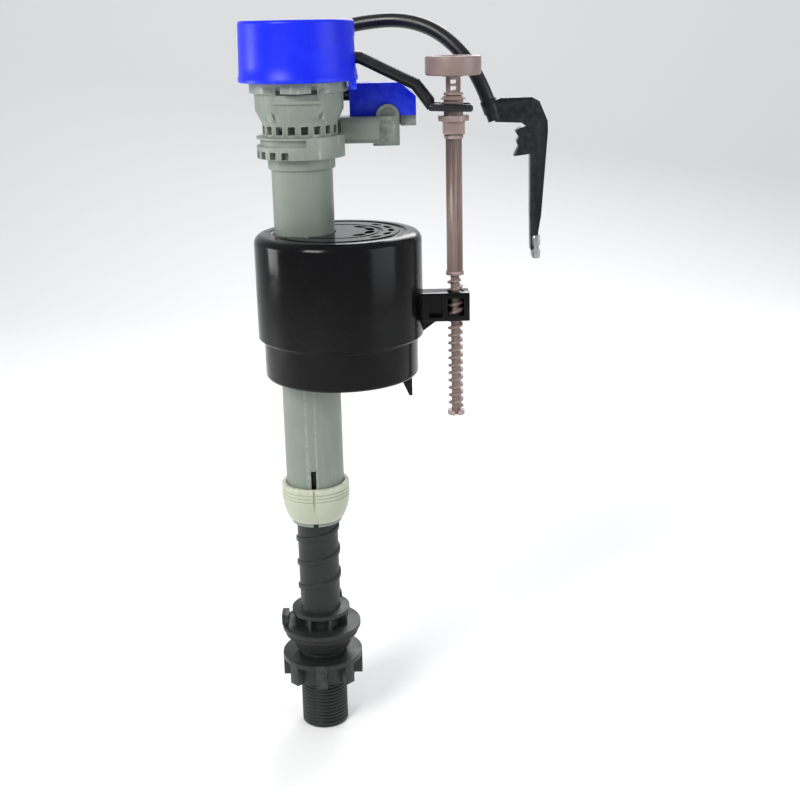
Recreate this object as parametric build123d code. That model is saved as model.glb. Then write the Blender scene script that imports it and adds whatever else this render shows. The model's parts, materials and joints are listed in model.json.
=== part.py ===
from build123d import *
import math
import os

# Float-cup fill valve for a toilet tank, with the valve set near the middle of its height range.
# Millimetres. Origin on the shank's axis at the underside of the flange, +Z up, +X towards the float's
# adjusting rod and the overflow pipe, +Y away from the tank's front.

os.makedirs("parts", exist_ok=True)

# ---------------------------------------------------------------- driving dimensions
FIT = 0.06              # radial running fit of a shaft in its hole
GAP = 0.4               # clearance between pieces that move past each other

# outer tube, the size that the shank, ring and head follow
TUBE_R = 13.3
TUBE_BORE_R = TUBE_R - 2.15
TUBE_BOTTOM = 55.0
TUBE_TOP = 223.0
BEAD_R = TUBE_R + 1.3
BEAD_T = 4.3

# shank, the fixed base that stands in the tank's floor
THREAD_R = 11.1         # supply thread, 22.2 mm over the crests
THREAD_PITCH = 1.81
THREAD_DEPTH = 0.9
THREAD_LENGTH = 50.0    # below the flange
FLANGE_R = 18.75
FLANGE_T = 2.0
SCREW_R = TUBE_BORE_R - 0.85    # crest of the leadscrew
SCREW_PITCH = 12.2
SHANK_R = SCREW_R - 0.8
SHANK_TOP = TUBE_TOP - 68.0
COLLAR_R = SHANK_R + 4.25
COLLAR_Z = 8.0
COLLAR_T = 2.0
GUSSETS = 8

# riser tube inside the shank, and its seal
RISER_R = SHANK_R - 4.0
RISER_WALL = 1.1
RISER_BOTTOM = 52.0
SHANK_BORE_R = RISER_R + 0.6
RISER_WAY_R = RISER_R + 0.8     # wider bore above, where the riser slides
RISER_WAY_LOW = 40.0
SEAL_R = SHANK_R - 1.6
SEAL_T = 4.0
SEAL_BELOW_TOP = 3.0

# washer and nut under the flange
WASHER_R = 17.5
WASHER_T = 3.0
WASHER_CONE = 6.0
TANK_FLOOR = 10.0
NUT_R = 19.0
NUT_T = 12.0
NUT_LOBES = 8

# slotted fingers at the outer tube's lower end
COLLET_R = SCREW_R + 1.4
COLLET_LENGTH = 16.0
SLIT_W = 2.4
SLIT_LENGTH = 28.0

# lock ring round the fingers
RING_LOW = 2.0          # above the tube's end
RING_H = 17.5
RING_R = TUBE_R + 2.45

# float, off centre towards the rod
FLOAT_R = 37.0
FLOAT_X = 14.5
FLOAT_BOTTOM = TUBE_TOP - 97.2
FLOAT_STEP = FLOAT_BOTTOM + 18.2    # height of the seam
FLOAT_TOP = FLOAT_BOTTOM + 64.6
FLOAT_INSET = 2.5       # how much narrower the lower cup is
FLOAT_GAP = 0.5         # round the outer tube
FLOAT_WALL = 1.8
FLOAT_TOP_WALL = 2.2
FLOAT_ARM_LOW = FLOAT_STEP + 5.7    # arm that carries the rod
FLOAT_ARM_H = 12.8
FLOAT_ARM_W = 11.2
FIN_DROP = 11.3         # fin below the lower cup

# valve head
HEAD_SEAT_R = TUBE_R + 2.7      # under the take-off ring
RING_CLAMP_R = HEAD_SEAT_R + 3.0
VENT_R = HEAD_SEAT_R + 0.25
NECK_R = HEAD_SEAT_R + 3.0
SHOULDER_R = NECK_R + 2.0
RING_SEAT_TOP = TUBE_TOP + 9.4
VENT_TOP = TUBE_TOP + 15.0
CHAMFER_TOP = TUBE_TOP + 20.5
NECK_TOP = TUBE_TOP + 27.0
HEAD_TOP = NECK_TOP + 5.0
SPIGOT_TOP = HEAD_TOP + 5.0
SPIGOT_R = SHOULDER_R - 0.4
CHAMBER_R = NECK_R - 1.0        # diaphragm chamber
HUB_R = RISER_R + 2.0
HEAD_WALL = 2.6
SOCKET_DEPTH = 17.0             # riser socket above the tube's top
SPIGOT_DOWN = 10.0              # head spigot inside the tube
SEAT_H = 3.5
VENTS = 18
VENT_W = 3.2

# cap
CAP_TOP = HEAD_TOP + 25.0
CAP_R_LOW = SHOULDER_R + 4.5
CAP_R_TOP = CAP_R_LOW - 1.0
CAP_BORE_R = CAP_R_TOP - 2.2
CAP_ROOF = 3.2
CHEEK_T = 2.8

# adjusting rod, outside the float
ROD_X = FLOAT_X + FLOAT_R + 14.5
NECK_ROD_R = 3.2
CROSS_R = 3.5
ROD_THREAD_R = 3.4
ROD_CORE_R = 2.0
ROD_PITCH = 3.5
ROD_THREAD_LOW = FLOAT_STEP - 36.5
ROD_THREAD_HIGH = ROD_THREAD_LOW + 61.5
ROD_BOTTOM = ROD_THREAD_LOW - 2.5
KNOB_R = 12.0
KNOB_LOW = HEAD_TOP + 1.0
KNOB_H = 8.0
KNOB_FLUTES = 36

# lever and the bushing that it lifts
PIVOT_X = 12.0
PIVOT_Z = HEAD_TOP + 10.0
PIN_R = 1.5
EYE_R = 3.2
LEVER_W = 8.0
FORK_W = 16.0
FORK_T = 3.2
FORK_Z = PIVOT_Z - 22.2
FORK_SLOT_X = ROD_X - 8.2
BUSH_LOW = FORK_Z - 11.3
BUSH_W = 9.2
BUSH_COLLAR_R = 6.6
COLLAR_TOP = FORK_Z - 3.6
SLEEVE_R = 4.2
SLEEVE_TOP = FORK_Z + 4.6

# take-off ring and roller clamp, behind the head
ARM_Y = CAP_R_LOW + 0.5
ARM_TOP = TUBE_TOP + 15.3
ARM_LOW = TUBE_TOP + 2.5
CLAMP_X0 = 21.0
CLAMP_X1 = 50.5
CLAMP_W = 14.4
HOSE_R = 3.2
HOSE_BORE_R = HOSE_R - 1.3
ROLLER_X = 37.8
ROLLER_R = 4.8
AXLE_R = 1.0
ROLLER_AXLE = 11.6
ROLLER_W = 6.0
ROLLER_TRAVEL = 9.0
ROLLER_Z = ARM_TOP + GAP + AXLE_R
HOSE_Z = ROLLER_Z + ROLLER_R + 0.3 + HOSE_R
CLAMP_TOP = HOSE_Z + HOSE_R + 1.4
LUG_R = 5.2
END_BLOCK_X = 31.0

# overflow elbow
ELBOW_T = 6.4

# the refill tube's route, from its barb in the roller clamp to the overflow elbow
HOSE_ROUTE = [
    (44.0, ARM_Y, HOSE_Z),
    (27.5, ARM_Y - 0.1, HOSE_Z + 0.1),
    (11.0, ARM_Y - 0.6, HOSE_Z - 0.2),
    (-6.0, ARM_Y + 0.3, HOSE_Z - 0.6),
    (-15.8, ARM_Y + 4.8, HOSE_Z + 4.6),
    (-19.4, ARM_Y + 12.0, HOSE_Z + 12.8),
    (-16.2, ARM_Y + 19.2, HOSE_Z + 20.6),
    (-6.5, ARM_Y + 23.6, HOSE_Z + 25.2),
    (10.5, ARM_Y + 23.5, HOSE_Z + 26.6),
    (28.0, ARM_Y + 20.0, HOSE_Z + 30.2),
    (ROD_X - 21.0, ARM_Y + 15.5, HOSE_Z + 31.3),
    (ROD_X - 6.0, ARM_Y + 10.5, HOSE_Z + 26.8),
    (ROD_X + 6.0, ARM_Y + 5.5, HOSE_Z + 16.5),
    (ROD_X + 14.0, ARM_Y + 2.8, HOSE_Z + 3.5),
    (ROD_X + 17.0, ARM_Y + 2.0, HOSE_Z - 4.5),
]


# ---------------------------------------------------------------- helpers
def rod(radius, z0, z1, x=0.0, y=0.0):
    """Upright cylinder from z0 to z1."""
    return Pos(x, y, (z0 + z1) / 2) * Cylinder(radius, z1 - z0)


def block(x0, x1, y0, y1, z0, z1):
    """Box between two corners."""
    middle = Pos((x0 + x1) / 2, (y0 + y1) / 2, (z0 + z1) / 2)
    return middle * Box(x1 - x0, y1 - y0, z1 - z0)


def turned(points, x=0.0):
    """Solid of revolution about the vertical through x, from (radius, height) points."""
    outline = make_face(Plane.XZ * Polyline(*points, close=True))
    return Pos(x, 0, 0) * revolve(outline, Axis.Z)


def around(shape, count, start=0.0):
    """Copies of a shape turned evenly about the valve's axis."""
    return [Rot(0, 0, start + 360.0 * i / count) * shape for i in range(count)]


def cross_rod(radius, x, z, y0, y1):
    """Cylinder lying along Y."""
    return Pos(x, (y0 + y1) / 2, z) * Rot(90, 0, 0) * Cylinder(radius, y1 - y0)


def helical_ridge(core_r, crest_r, root_w, crest_w, pitch, z0, z1):
    """A trapezoid ridge wound on a core, to be joined to that core."""
    path = Helix(pitch, z1 - z0, core_r)
    sunk = -0.5
    height = crest_r - core_r
    corners = [(sunk, -root_w / 2), (sunk, root_w / 2), (height, crest_w / 2), (height, -crest_w / 2)]
    section = Plane(origin=path @ 0, x_dir=(1, 0, 0), z_dir=path % 0) * Polygon(*corners, align=None)
    return Pos(0, 0, z0) * sweep(section, path=path, is_frenet=True)


def bar(points, thickness):
    """Rounded bar through (x, z) points, as a flat shape in the XZ plane."""
    shape = Sketch()
    for (xa, za), (xb, zb) in zip(points, points[1:]):
        run = math.hypot(xb - xa, zb - za)
        turn = math.degrees(math.atan2(zb - za, xb - xa))
        shape += Pos((xa + xb) / 2, (za + zb) / 2) * Rot(0, 0, turn) * SlotCenterToCenter(run, thickness)
    return shape


def slab(shape, width, y=0.0):
    """A flat XZ shape given a width along Y, centred on y."""
    return Pos(0, y, 0) * extrude(Plane.XZ * shape, amount=width / 2, both=True)


def plate(points, width, y=0.0):
    """A closed (x, z) outline given a width along Y, centred on y."""
    return slab(make_face(Polyline(*points, close=True)), width, y)


# ---------------------------------------------------------------- root: shank, washer, nut, riser seal
def shank():
    crest_to_root = THREAD_R - THREAD_DEPTH
    body = rod(THREAD_R, -THREAD_LENGTH, 0)
    turns = int((THREAD_LENGTH - 4) / THREAD_PITCH)
    half = THREAD_PITCH * 0.36
    for i in range(turns):
        z = -THREAD_LENGTH + 2.4 + i * THREAD_PITCH
        groove = [(crest_to_root, z), (THREAD_R + 0.2, z - half), (THREAD_R + 0.2, z + half)]
        body -= turned(groove)
    body += rod(FLANGE_R, 0, FLANGE_T)
    body += rod(SHANK_R, 0, SHANK_TOP)
    body += rod(COLLAR_R, COLLAR_Z, COLLAR_Z + COLLAR_T)
    gusset = block(SHANK_R - 1, COLLAR_R - 0.5, -0.8, 0.8, FLANGE_T, COLLAR_Z)
    for rib in around(gusset, GUSSETS, 22.5):
        body += rib
    body += block(-FLANGE_R, -FLANGE_R + 3.2, -4, 4, FLANGE_T, FLANGE_T + 5)
    body += helical_ridge(SHANK_R, SCREW_R, 3.4, 1.9, SCREW_PITCH, 15, SHANK_TOP - 12)
    body -= rod(SHANK_BORE_R, -THREAD_LENGTH - 1, SHANK_TOP + 1)
    body -= rod(RISER_WAY_R, RISER_WAY_LOW, SHANK_TOP + 1)
    seal_top = SHANK_TOP - SEAL_BELOW_TOP
    body -= rod(SEAL_R, seal_top - SEAL_T, seal_top)
    return body


def riser_seal():
    seal_top = SHANK_TOP - SEAL_BELOW_TOP
    return rod(SEAL_R, seal_top - SEAL_T, seal_top) - rod(RISER_R + FIT, seal_top - SEAL_T, seal_top)


def shank_washer():
    cone_r = WASHER_R - 4
    profile = [(THREAD_R, 0), (WASHER_R, 0), (WASHER_R, -WASHER_T), (cone_r + 1.5, -WASHER_T),
               (cone_r, -WASHER_T - WASHER_CONE), (THREAD_R, -WASHER_T - WASHER_CONE)]
    return turned(profile)


def mounting_nut():
    top = -WASHER_T - TANK_FLOOR
    nut = rod(NUT_R, top - 2.5, top) + rod(NUT_R - 3.4, top - NUT_T, top)
    lobe = block(NUT_R - 5, NUT_R, -2.6, 2.6, top - NUT_T, top)
    for wing in around(lobe, NUT_LOBES):
        nut += wing
    return nut - rod(THREAD_R, top - NUT_T - 1, top + 1)


# ---------------------------------------------------------------- valve body: tube, head and what is in it
def outer_tube():
    neck_top = TUBE_BOTTOM + COLLET_LENGTH
    bead_low = TUBE_TOP - BEAD_T
    collet_bore = SCREW_R + GAP
    profile = [(collet_bore, TUBE_BOTTOM), (COLLET_R, TUBE_BOTTOM), (COLLET_R, neck_top), (TUBE_R, neck_top + 1),
               (TUBE_R, bead_low - 0.8), (BEAD_R, bead_low), (BEAD_R, TUBE_TOP), (TUBE_BORE_R, TUBE_TOP),
               (TUBE_BORE_R, neck_top + 1), (collet_bore, neck_top - 1)]
    tube = turned(profile)
    slit = block(0, TUBE_R + 2, -SLIT_W / 2, SLIT_W / 2, TUBE_BOTTOM - 1, TUBE_BOTTOM + SLIT_LENGTH)
    for cut in around(slit, 4, 90):
        tube -= cut
    return tube


def lock_ring():
    low = TUBE_BOTTOM + RING_LOW
    top = low + RING_H
    outer = make_face(Plane.XZ * (
        Spline((COLLET_R + 1.0, low), (RING_R - 1.0, low + 5.5), (RING_R, low + 11.5), (RING_R - 0.5, top))
        + Polyline((RING_R - 0.5, top), (TUBE_R + GAP, top), (TUBE_R + GAP, low + 5.8),
                   (COLLET_R + GAP, low + 1.6), (COLLET_R + GAP, low), (COLLET_R + 1.0, low))))
    ring = revolve(outer, Axis.Z)
    groove = block(-0.7, 0.7, -RING_R - 1, -RING_R + 1.0, low + 1, top + 1)
    ring -= groove
    return ring


def valve_head():
    body = turned([
        (0, TUBE_TOP), (HEAD_SEAT_R, TUBE_TOP), (HEAD_SEAT_R, RING_SEAT_TOP), (VENT_R, RING_SEAT_TOP),
        (VENT_R, VENT_TOP), (NECK_R, CHAMFER_TOP), (NECK_R, NECK_TOP), (SHOULDER_R, NECK_TOP + 0.8),
        (SHOULDER_R, HEAD_TOP), (SPIGOT_R, HEAD_TOP), (SPIGOT_R, SPIGOT_TOP), (0, SPIGOT_TOP)])
    body += rod(TUBE_BORE_R, TUBE_TOP - SPIGOT_DOWN, TUBE_TOP)
    # annular outlet chamber round the hub
    way_r = HEAD_SEAT_R - HEAD_WALL
    body -= rod(way_r, TUBE_TOP + 4, NECK_TOP - 3) - rod(HUB_R, TUBE_TOP, NECK_TOP)
    port = rod(1.6, NECK_TOP - 4, NECK_TOP + 1, x=(HUB_R + way_r) / 2)
    for hole in around(port, 8):
        body -= hole
    drain = rod(1.3, TUBE_TOP - SPIGOT_DOWN - 1, TUBE_TOP + 5, x=HUB_R + 1.6)
    for hole in around(drain, 6):
        body -= hole
    # riser socket and seat counterbore in the hub
    body -= rod(RISER_R, TUBE_TOP - SPIGOT_DOWN - 1, TUBE_TOP + SOCKET_DEPTH)
    body -= rod(RISER_R - RISER_WALL, TUBE_TOP, NECK_TOP + 1)
    body -= rod(RISER_R + 0.8, NECK_TOP - SEAT_H, NECK_TOP + 1)
    half = VENT_W / 2
    window = block(HEAD_SEAT_R - 4, VENT_R + 1, -half, half, RING_SEAT_TOP + 1.2, VENT_TOP - 1)
    for cut in around(window, VENTS):
        body -= cut
    # recessed front panel with a cross ridge and two slanted ribs
    panel = block(-14.5, 14.5, -NECK_R - 1, -NECK_R + 3.2, VENT_TOP + 1.5, HEAD_TOP - 1.4)
    body -= panel - rod(NECK_R - 1.2, VENT_TOP, HEAD_TOP)
    ridge_z = NECK_TOP - 3.6
    ridge = rod(NECK_R - 0.2, ridge_z, ridge_z + 1.2)
    ridge &= block(-14, 14, -NECK_R - 1, -8, ridge_z, ridge_z + 1.2)
    body += ridge - rod(NECK_R - 2.0, VENT_TOP, HEAD_TOP)
    for side in (-1, 1):
        rib = Pos(side * 12.6, -NECK_R + 7.0, ridge_z - 0.4) * Rot(0, side * 18, 0) * Box(1.6, 8, 15)
        rib &= rod(NECK_R - 0.1, VENT_TOP + 2, NECK_TOP + 2.5)
        body += rib - rod(NECK_R - 2.0, TUBE_TOP, SPIGOT_TOP)
    # chamber for the diaphragm
    return body - rod(CHAMBER_R, NECK_TOP, SPIGOT_TOP + 1)


def riser_tube():
    top = TUBE_TOP + SOCKET_DEPTH
    return rod(RISER_R, RISER_BOTTOM, top) - rod(RISER_R - RISER_WALL, RISER_BOTTOM - 1, top + 1)


def valve_seat():
    low = NECK_TOP - SEAT_H
    hole = RISER_R - 2.3
    seat = rod(RISER_R + 0.8, low, NECK_TOP) - rod(hole, low - 1, NECK_TOP + 1)
    lip = turned([(hole, NECK_TOP), (hole + 1.4, NECK_TOP), (hole + 0.8, NECK_TOP + 0.5),
                  (hole + 0.2, NECK_TOP + 0.5)])
    return seat + lip


def diaphragm():
    low = NECK_TOP
    thick = 2.0
    high = low + thick
    skin = [(0, low + 0.5), (6.0, low + 0.5), (7.0, low + 1.0), (11.0, low + 1.0), (12.5, low),
            (CHAMBER_R, low), (CHAMBER_R, high), (0, high)]
    return turned(skin) - rod(0.5, low, low + 3, x=5.0)


def seal_retainer():
    low = NECK_TOP + 2.0
    disc = rod(CHAMBER_R, low, low + 2.2) + rod(5.0, low, low + 4.8)
    disc += rod(CHAMBER_R, low, low + 4.6) - rod(CHAMBER_R - 2, low - 1, low + 6)
    arm = block(4, CHAMBER_R - 1, -0.8, 0.8, low, low + 4.0)
    for rib in around(arm, 6, 30):
        disc += rib
    return disc - rod(2.0 + FIT, low - 1, low + 6)


def plunger():
    low = NECK_TOP + 5.0
    head = PIVOT_Z - 5.4
    button = [(0, head), (3.2, head), (3.2, head + 1.2), (2.2, head + 1.9), (0, head + 1.9)]
    return rod(2.0, low, head) + turned(button)


def cap():
    body = turned([
        (SPIGOT_R, HEAD_TOP), (CAP_R_LOW, HEAD_TOP), (CAP_R_LOW, HEAD_TOP + 2.4), (CAP_R_LOW - 0.25, HEAD_TOP + 3),
        (CAP_R_TOP, CAP_TOP - 1.4), (CAP_R_TOP - 1.4, CAP_TOP), (CAP_R_TOP - 3.6, CAP_TOP),
        (CAP_R_TOP - 4.2, CAP_TOP - 0.9), (0, CAP_TOP - 0.9), (0, CAP_TOP - CAP_ROOF),
        (CAP_BORE_R, CAP_TOP - CAP_ROOF),
        (CAP_BORE_R, SPIGOT_TOP), (SPIGOT_R, SPIGOT_TOP)])
    cheek_y = LEVER_W / 2 + GAP
    for side in (-1, 1):
        y0, y1 = sorted((side * cheek_y, side * (cheek_y + CHEEK_T)))
        body += block(PIVOT_X - EYE_R, PIVOT_X + EYE_R, y0, y1, PIVOT_Z, CAP_TOP - CAP_ROOF + 0.2)
        body += cross_rod(EYE_R, PIVOT_X, PIVOT_Z, y0, y1)
    body -= cross_rod(PIN_R, PIVOT_X, PIVOT_Z, -10, 10)
    slot_y = LEVER_W / 2 + 1.0
    body -= block(17, CAP_R_LOW + 2, -slot_y, slot_y, SPIGOT_TOP - 0.4, PIVOT_Z + 8)
    lug = block(SPIGOT_R + 0.4, CAP_R_LOW - 0.1, -9.5, -3.5, HEAD_TOP - 3.6, HEAD_TOP + 1)
    return body + (lug - rod(SHOULDER_R, HEAD_TOP - 5, HEAD_TOP))


def lever_pin():
    half = LEVER_W / 2 + GAP + CHEEK_T
    return cross_rod(PIN_R, PIVOT_X, PIVOT_Z, -half, half)


def lever():
    bend_x = ROD_X - 39.0
    inner = bar([(-2.5, PIVOT_Z), (PIVOT_X, PIVOT_Z), (bend_x, PIVOT_Z - 1.0)], 6.0)
    slope = bar([(bend_x, PIVOT_Z - 1.0), (ROD_X - 16, PIVOT_Z - 12.4), (ROD_X - 11, FORK_Z + 3.2)], 5.0)
    arm = slab(inner + slope, LEVER_W)
    root = slab(bar([(ROD_X - 12, FORK_Z + 3.7), (ROD_X - 9, FORK_Z + 0.4)], FORK_T + 0.6), FORK_W)
    fork = slab(bar([(ROD_X - 9, FORK_Z + 0.4), (ROD_X + 6.5, FORK_Z - 0.4)], FORK_T), FORK_W)
    slot_half = SLEEVE_R + 0.6
    fork -= block(FORK_SLOT_X, ROD_X + 14, -slot_half, slot_half, FORK_Z - 6, FORK_Z + 6)
    root -= block(FORK_SLOT_X + 1.4, ROD_X + 14, -FORK_W, FORK_W, FORK_Z - 6, FORK_Z + 6)
    root -= block(FORK_SLOT_X, ROD_X + 14, -slot_half, slot_half, FORK_Z - 6, FORK_Z + 6)
    return arm + root + fork - cross_rod(PIN_R + FIT, PIVOT_X, PIVOT_Z, -10, 10)


# ---------------------------------------------------------------- bushing, rod and float
def rod_bushing():
    low = BUSH_LOW
    collar_low = COLLAR_TOP - 2.2
    body = block(ROD_X - BUSH_W / 2, ROD_X + BUSH_W / 2, -BUSH_W / 2, BUSH_W / 2, low, collar_low)
    body += rod(BUSH_COLLAR_R, collar_low, COLLAR_TOP, x=ROD_X)
    body += rod(SLEEVE_R, COLLAR_TOP - 1, SLEEVE_TOP, x=ROD_X)
    body += turned([(NECK_ROD_R, SLEEVE_TOP - 1.4), (SLEEVE_R + 1.4, SLEEVE_TOP - 1.4), (SLEEVE_R, SLEEVE_TOP),
                    (NECK_ROD_R, SLEEVE_TOP)], x=ROD_X)
    return body - rod(NECK_ROD_R + FIT, low - 1, SLEEVE_TOP + 1, x=ROD_X)


def adjust_rod():
    neck_low = BUSH_LOW - GAP - 1.5
    body = rod(NECK_ROD_R, neck_low, KNOB_LOW + 1)
    body += rod(4.2, neck_low, BUSH_LOW - GAP)
    keeper = SLEEVE_TOP + GAP
    body += rod(4.2, keeper, keeper + 1.1)
    for i in range(2):
        z = keeper + 1.9 + i * 2.7
        body -= block(-1.3, 1.3, -5, 5, z, z + 1.8)
    # cross-shaped shaft, and the ring above the thread
    rib = CROSS_R * 0.9
    body += block(-CROSS_R, CROSS_R, -0.9, 0.9, ROD_THREAD_HIGH + 1, neck_low + 0.5)
    body += block(-0.9, 0.9, -rib, rib, ROD_THREAD_HIGH + 1, neck_low + 0.5)
    body += rod(4.0, ROD_THREAD_HIGH + 1, ROD_THREAD_HIGH + 2.6)
    body += rod(ROD_CORE_R, ROD_BOTTOM, ROD_THREAD_HIGH + 2)
    low = ROD_THREAD_LOW + 1.2
    high = ROD_THREAD_HIGH - 1.2
    body += helical_ridge(ROD_CORE_R, ROD_THREAD_R, 2.2, 0.9, ROD_PITCH, low, high)
    # knob with a finely fluted edge and a slot for a screwdriver
    knob = rod(KNOB_R, KNOB_LOW, KNOB_LOW + KNOB_H)
    knob = chamfer(knob.edges().filter_by(GeomType.CIRCLE), 0.5)
    flute = rod(0.5, KNOB_LOW + 1.2, KNOB_LOW + KNOB_H - 1.2, x=KNOB_R + 0.2)
    for cut in around(flute, KNOB_FLUTES):
        knob -= cut
    knob -= block(-7, 7, -0.8, 0.8, KNOB_LOW + KNOB_H - 1.5, KNOB_LOW + KNOB_H + 1)
    return Pos(ROD_X, 0, 0) * (body + knob)


def rod_stop():
    low = ROD_BOTTOM - 1
    high = ROD_BOTTOM + 3
    ring = rod(3.85, ROD_BOTTOM, ROD_BOTTOM + 2.0, x=ROD_X) - rod(ROD_CORE_R, low, high, x=ROD_X)
    return ring - block(ROD_X - 0.8, ROD_X + 0.8, -5, 0, low, high)


def float_cup():
    """Upper cup: closed top, sleeve round the tube, open below, with the arm that carries the rod."""
    bore = TUBE_R + FLOAT_GAP
    shell = rod(FLOAT_R, FLOAT_STEP, FLOAT_TOP, x=FLOAT_X)
    rim = shell.edges().filter_by(GeomType.CIRCLE).group_by(Axis.Z)[-1]
    shell = fillet(rim, 4.0)
    inner_r = FLOAT_R - FLOAT_WALL
    shell -= rod(inner_r, FLOAT_STEP - 1, FLOAT_TOP - FLOAT_TOP_WALL, x=FLOAT_X)
    shell += rod(bore + FLOAT_WALL, FLOAT_STEP, FLOAT_TOP - FLOAT_TOP_WALL + 0.7)
    # arm out to the rod, open at both sides and round the thread
    side = FLOAT_X + FLOAT_R
    low = FLOAT_ARM_LOW
    high = low + FLOAT_ARM_H
    half = FLOAT_ARM_W / 2
    arm = block(side - 4, ROD_X + 6.2, -half, half, low, high)
    for y0, y1 in ((-8, -1.2), (1.2, 8)):
        arm -= block(side + 2.6, ROD_X - 6, y0, y1, low + 1.8, high - 1.8)
    arm += plate([(side - 1, low + 0.1), (side + 7, low + 0.1), (side - 1, low - 5.5)], 2.4)
    shell += arm - rod(inner_r, low - 10, high + 10, x=FLOAT_X)
    shell -= rod(ROD_THREAD_R + GAP, low - 1, high + 1, x=ROD_X)
    shell -= block(ROD_X - 3.6, ROD_X + 3.6, -8, 0, low + 2.5, high - 2.5)
    shell -= rod(bore, FLOAT_STEP - 1, FLOAT_TOP + 1)
    # row of small vent holes in the top, over the rod side
    for i in range(5):
        angle = math.radians(-40 + 20 * i)
        x = FLOAT_X + (FLOAT_R - 9) * math.cos(angle)
        y = (FLOAT_R - 9) * math.sin(angle)
        shell -= rod(1.1, FLOAT_TOP - 4, FLOAT_TOP + 1, x=x, y=y)
    return shell


def float_base():
    """Lower cup: closed below, its rim sits inside the upper cup's wall."""
    bore = TUBE_R + FLOAT_GAP
    outer = FLOAT_R - FLOAT_INSET
    cup = rod(outer, FLOAT_BOTTOM, FLOAT_STEP, x=FLOAT_X)
    rim = cup.edges().filter_by(GeomType.CIRCLE).group_by(Axis.Z)[0]
    cup = fillet(rim, 2.0)
    cup += rod(FLOAT_R - FLOAT_WALL, FLOAT_STEP - 1.6, FLOAT_STEP, x=FLOAT_X)
    lip = rod(FLOAT_R - FLOAT_WALL, FLOAT_STEP, FLOAT_STEP + 4, x=FLOAT_X)
    cup += lip
    inner_r = outer - FLOAT_WALL
    cup -= rod(inner_r, FLOAT_BOTTOM + 2, FLOAT_STEP + 5, x=FLOAT_X)
    cup += rod(bore + FLOAT_WALL, FLOAT_BOTTOM, FLOAT_STEP)
    low = FLOAT_BOTTOM - FIN_DROP
    fin_x = FLOAT_X + FLOAT_R - 5.5
    top = FLOAT_BOTTOM + 1
    cup += plate([(fin_x - 7, top), (fin_x, top), (fin_x, low), (fin_x - 1.5, low)], 2.4)
    cup -= rod(bore, FLOAT_BOTTOM - 1, FLOAT_STEP + 5)
    # keep clear of the upper cup's sleeve above the seam
    return cup - rod(bore + FLOAT_WALL, FLOAT_STEP, FLOAT_STEP + 5)


# ---------------------------------------------------------------- take-off ring, clamp, tube, elbow
def take_off_ring():
    """Ring clamped round the head, with the hollow-backed arm that carries the roller clamp."""
    ring = rod(RING_CLAMP_R, TUBE_TOP + 0.4, RING_SEAT_TOP)
    y0 = ARM_Y - CLAMP_W / 2
    y1 = ARM_Y + CLAMP_W / 2
    bar_shape = block(4, END_BLOCK_X + 3, 9, y1 - 0.8, ARM_LOW + 1.6, ARM_TOP)
    ring += fillet(bar_shape.edges().filter_by(Axis.X), 3.2)
    end_block = block(END_BLOCK_X, END_BLOCK_X + 12, y0 - 3, y1, ARM_LOW, ARM_TOP)
    ring += fillet(end_block.edges().filter_by(Axis.Z), 2.0)
    ring += block(END_BLOCK_X, CLAMP_X1, ARM_Y - 4, y1, ARM_TOP - 4.7, ARM_TOP)
    # arched lug in front of the clamp, with a blind hole
    lug = cross_rod(LUG_R, ROLLER_X, ARM_TOP, y0 - GAP - 2.0, y0 - GAP)
    lug -= block(0, 60, 0, 60, ARM_LOW, ARM_TOP - 1)
    ring += lug - cross_rod(LUG_R - 1.8, ROLLER_X, ARM_TOP + 0.6, y0 - GAP - 3.0, y0 - GAP - 0.6)
    ring -= rod(HEAD_SEAT_R, TUBE_TOP - 1, ARM_TOP + 1)
    ring -= rod(NECK_R + GAP, RING_SEAT_TOP, ARM_TOP + 1)
    # open bands on the left half, with a row of windows below
    half = block(-25, 3.4, -25, 8, RING_SEAT_TOP - 3.8, RING_SEAT_TOP - 0.8)
    ring -= half - rod(RING_CLAMP_R - 1.6, TUBE_TOP, VENT_TOP)
    window = block(HEAD_SEAT_R - 2, RING_CLAMP_R + 3, -VENT_W / 2, VENT_W / 2, TUBE_TOP + 0.6, TUBE_TOP + 3.6)
    for i in range(9):
        ring -= Rot(0, 0, 108 + 18 * i) * window
    # pocket that the roller runs in
    half_w = ROLLER_W / 2 + 1.0
    reach = ROLLER_R + 1.0
    return ring - block(ROLLER_X - ROLLER_TRAVEL - reach, ROLLER_X + reach,
                        ARM_Y - half_w, ARM_Y + half_w, ARM_TOP - ROLLER_R, ARM_TOP + 1)


def roller_clamp():
    """Open-topped channel that carries the refill tube over the roller, with the barb at its far end."""
    y1 = ARM_Y + CLAMP_W / 2
    side = [(CLAMP_X0, ARM_TOP), (CLAMP_X0, CLAMP_TOP - 1.5), (CLAMP_X0 + 1.5, CLAMP_TOP),
            (CLAMP_X1 - 7, CLAMP_TOP), (CLAMP_X1, CLAMP_TOP - 6), (CLAMP_X1, ARM_TOP)]
    body = plate(side, CLAMP_W, ARM_Y)
    half_w = ROLLER_W / 2 + 1.0
    channel_end = HOSE_ROUTE[0][0] + 2.0
    body -= block(CLAMP_X0 - 1, channel_end, ARM_Y - half_w, ARM_Y + half_w, ARM_TOP - 1, CLAMP_TOP - 0.8)
    # blind slots in both cheeks that guide the roller's axle
    reach = AXLE_R + GAP
    slot_y = ROLLER_AXLE / 2 + GAP
    body -= block(ROLLER_X - ROLLER_TRAVEL - reach, ROLLER_X + reach, ARM_Y - slot_y, ARM_Y + slot_y,
                  ARM_TOP - 1, ROLLER_Z + reach)
    # thumb window in the back cheek
    body -= block(ROLLER_X - ROLLER_TRAVEL - 4, ROLLER_X + 4, ARM_Y, y1 + 1, ARM_TOP - 1, ARM_TOP + ROLLER_R)
    return body


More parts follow.
